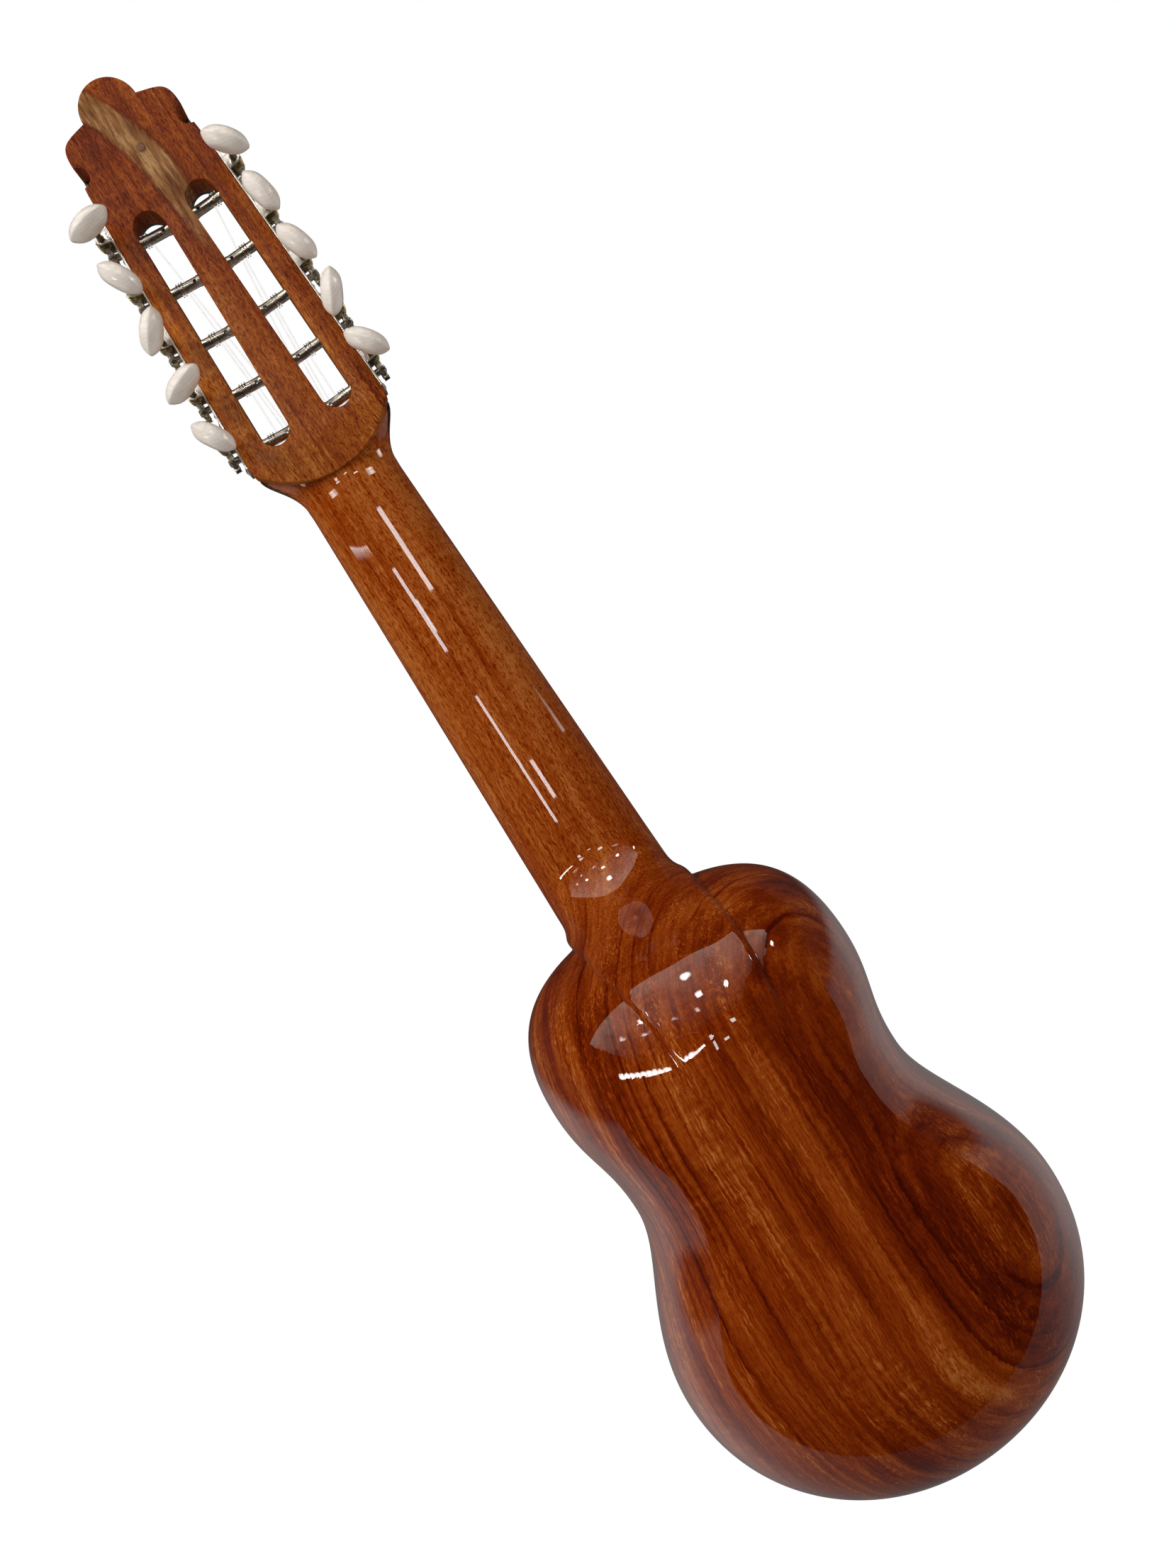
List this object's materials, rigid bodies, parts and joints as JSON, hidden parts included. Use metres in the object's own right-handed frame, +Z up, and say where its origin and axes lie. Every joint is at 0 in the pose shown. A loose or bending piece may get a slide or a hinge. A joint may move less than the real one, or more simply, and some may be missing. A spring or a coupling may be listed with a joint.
{
  "type": "charango",
  "caption": "Small ten-string lute with a round back, neck and slotted headstock carved from one block, worm and gear tuners and ivory-white buttons.",
  "frame": {"origin": "middle of the nut on the top face of the neck, where a hanger's yoke takes the neck just under the headstock", "axes": "+Z up along the neck towards the headstock, -Y the way the soundboard faces, +Y the way the round back faces, +X to the left of someone who looks at the back"},
  "size_m": [0.171, 0.0983, 0.6594],
  "materials": {
    "varnished_wood": "deep glossy varnish on body and neck, satin on the headstock",
    "spruce": "satin",
    "bracing_spruce": "bare",
    "dark_veneer": "gloss",
    "ebony": "oiled",
    "inlay_wood": "gloss",
    "binding_wood": "gloss",
    "plug_wood": "satin",
    "bone": "polished bone",
    "nickel": "nickel plate",
    "roller_steel": "turned",
    "dark_brass": "darkened",
    "ivory_button": "gloss",
    "nylon": "clear nylon"
  },
  "bodies": {
    "charango": {"bridge": "ebony", "carved_body": "varnished_wood", "fan_strut_1": "bracing_spruce", "fan_strut_2": "bracing_spruce", "fan_strut_3": "bracing_spruce", "fingerboard": "ebony", "headplate": "dark_veneer", "headstock_plug": "plug_wood", "lower_brace": "bracing_spruce", "nut": "bone", "rosette": "inlay_wood", "saddle": "bone", "soundboard": "spruce", "string_1": "nylon", "string_10": "nylon", "string_2": "nylon", "string_3": "nylon", "string_4": "nylon", "string_5": "nylon", "string_6": "nylon", "string_7": "nylon", "string_8": "nylon", "string_9": "nylon", "top_binding": "binding_wood", "tuner_plate_left": "nickel", "tuner_plate_right": "nickel", "upper_brace": "bracing_spruce"},
    "tuner_left_1": {"worm_left_1": "dark_brass", "button_left_1": "ivory_button"},
    "string_roller_left_1": {"roller_left_1": "roller_steel"},
    "tuner_left_2": {"worm_left_2": "dark_brass", "button_left_2": "ivory_button"},
    "string_roller_left_2": {"roller_left_2": "roller_steel"},
    "tuner_left_3": {"worm_left_3": "dark_brass", "button_left_3": "ivory_button"},
    "string_roller_left_3": {"roller_left_3": "roller_steel"},
    "tuner_left_4": {"worm_left_4": "dark_brass", "button_left_4": "ivory_button"},
    "string_roller_left_4": {"roller_left_4": "roller_steel"},
    "tuner_left_5": {"worm_left_5": "dark_brass", "button_left_5": "ivory_button"},
    "string_roller_left_5": {"roller_left_5": "roller_steel"},
    "tuner_right_1": {"worm_right_1": "dark_brass", "button_right_1": "ivory_button"},
    "string_roller_right_1": {"roller_right_1": "roller_steel"},
    "tuner_right_2": {"worm_right_2": "dark_brass", "button_right_2": "ivory_button"},
    "string_roller_right_2": {"roller_right_2": "roller_steel"},
    "tuner_right_3": {"worm_right_3": "dark_brass", "button_right_3": "ivory_button"},
    "string_roller_right_3": {"roller_right_3": "roller_steel"},
    "tuner_right_4": {"worm_right_4": "dark_brass", "button_right_4": "ivory_button"},
    "string_roller_right_4": {"roller_right_4": "roller_steel"},
    "tuner_right_5": {"worm_right_5": "dark_brass", "button_right_5": "ivory_button"},
    "string_roller_right_5": {"roller_right_5": "roller_steel"}
  },
  "joints": [
    {"name": "tuner_left_1_turn", "type": "hinge", "parent": "charango", "child": "tuner_left_1", "pos_m": [0.03765, 0.01672, 0.04421], "axis": [0, -0.9781, 0.2079], "continuous": true},
    {"name": "roller_left_1_turn", "type": "hinge", "parent": "charango", "child": "string_roller_left_1", "pos_m": [0.03352, 0.01515, 0.03683], "axis": [0.9988, 0.0101, 0.0477], "continuous": true},
    {"name": "tuner_left_2_turn", "type": "hinge", "parent": "charango", "child": "tuner_left_2", "pos_m": [0.03646, 0.02179, 0.06805], "axis": [0, -0.9781, 0.2079], "continuous": true},
    {"name": "roller_left_2_turn", "type": "hinge", "parent": "charango", "child": "string_roller_left_2", "pos_m": [0.03232, 0.02022, 0.06067], "axis": [0.9988, 0.0101, 0.0477], "continuous": true},
    {"name": "tuner_left_3_turn", "type": "hinge", "parent": "charango", "child": "tuner_left_3", "pos_m": [0.03527, 0.02685, 0.09189], "axis": [0, -0.9781, 0.2079], "continuous": true},
    {"name": "roller_left_3_turn", "type": "hinge", "parent": "charango", "child": "string_roller_left_3", "pos_m": [0.03113, 0.02528, 0.08451], "axis": [0.9988, 0.0101, 0.0477], "continuous": true},
    {"name": "tuner_left_4_turn", "type": "hinge", "parent": "charango", "child": "tuner_left_4", "pos_m": [0.03408, 0.03192, 0.11573], "axis": [0, -0.9781, 0.2079], "continuous": true},
    {"name": "roller_left_4_turn", "type": "hinge", "parent": "charango", "child": "string_roller_left_4", "pos_m": [0.02994, 0.03035, 0.10835], "axis": [0.9988, 0.0101, 0.0477], "continuous": true},
    {"name": "tuner_left_5_turn", "type": "hinge", "parent": "charango", "child": "tuner_left_5", "pos_m": [0.03289, 0.03699, 0.13957], "axis": [0, -0.9781, 0.2079], "continuous": true},
    {"name": "roller_left_5_turn", "type": "hinge", "parent": "charango", "child": "string_roller_left_5", "pos_m": [0.02875, 0.03542, 0.13219], "axis": [0.9988, 0.0101, 0.0477], "continuous": true},
    {"name": "tuner_right_1_turn", "type": "hinge", "parent": "charango", "child": "tuner_right_1", "pos_m": [-0.03765, 0.01672, 0.04421], "axis": [0, -0.9781, 0.2079], "continuous": true},
    {"name": "roller_right_1_turn", "type": "hinge", "parent": "charango", "child": "string_roller_right_1", "pos_m": [-0.03352, 0.01515, 0.03683], "axis": [-0.9988, 0.0101, 0.0477], "continuous": true},
    {"name": "tuner_right_2_turn", "type": "hinge", "parent": "charango", "child": "tuner_right_2", "pos_m": [-0.03646, 0.02179, 0.06805], "axis": [0, -0.9781, 0.2079], "continuous": true},
    {"name": "roller_right_2_turn", "type": "hinge", "parent": "charango", "child": "string_roller_right_2", "pos_m": [-0.03232, 0.02022, 0.06067], "axis": [-0.9988, 0.0101, 0.0477], "continuous": true},
    {"name": "tuner_right_3_turn", "type": "hinge", "parent": "charango", "child": "tuner_right_3", "pos_m": [-0.03527, 0.02685, 0.09189], "axis": [0, -0.9781, 0.2079], "continuous": true},
    {"name": "roller_right_3_turn", "type": "hinge", "parent": "charango", "child": "string_roller_right_3", "pos_m": [-0.03113, 0.02528, 0.08451], "axis": [-0.9988, 0.0101, 0.0477], "continuous": true},
    {"name": "tuner_right_4_turn", "type": "hinge", "parent": "charango", "child": "tuner_right_4", "pos_m": [-0.03408, 0.03192, 0.11573], "axis": [0, -0.9781, 0.2079], "continuous": true},
    {"name": "roller_right_4_turn", "type": "hinge", "parent": "charango", "child": "string_roller_right_4", "pos_m": [-0.02994, 0.03035, 0.10835], "axis": [-0.9988, 0.0101, 0.0477], "continuous": true},
    {"name": "tuner_right_5_turn", "type": "hinge", "parent": "charango", "child": "tuner_right_5", "pos_m": [-0.03289, 0.03699, 0.13957], "axis": [0, -0.9781, 0.2079], "continuous": true},
    {"name": "roller_right_5_turn", "type": "hinge", "parent": "charango", "child": "string_roller_right_5", "pos_m": [-0.02875, 0.03542, 0.13219], "axis": [-0.9988, 0.0101, 0.0477], "continuous": true}
  ],
  "couplings": [
    {"joint": "roller_left_1_turn", "follows": "tuner_left_1_turn", "ratio": 0.083333},
    {"joint": "roller_left_2_turn", "follows": "tuner_left_2_turn", "ratio": 0.083333},
    {"joint": "roller_left_3_turn", "follows": "tuner_left_3_turn", "ratio": 0.083333},
    {"joint": "roller_left_4_turn", "follows": "tuner_left_4_turn", "ratio": 0.083333},
    {"joint": "roller_left_5_turn", "follows": "tuner_left_5_turn", "ratio": 0.083333},
    {"joint": "roller_right_1_turn", "follows": "tuner_right_1_turn", "ratio": -0.083333},
    {"joint": "roller_right_2_turn", "follows": "tuner_right_2_turn", "ratio": -0.083333},
    {"joint": "roller_right_3_turn", "follows": "tuner_right_3_turn", "ratio": -0.083333},
    {"joint": "roller_right_4_turn", "follows": "tuner_right_4_turn", "ratio": -0.083333},
    {"joint": "roller_right_5_turn", "follows": "tuner_right_5_turn", "ratio": -0.083333}
  ]
}
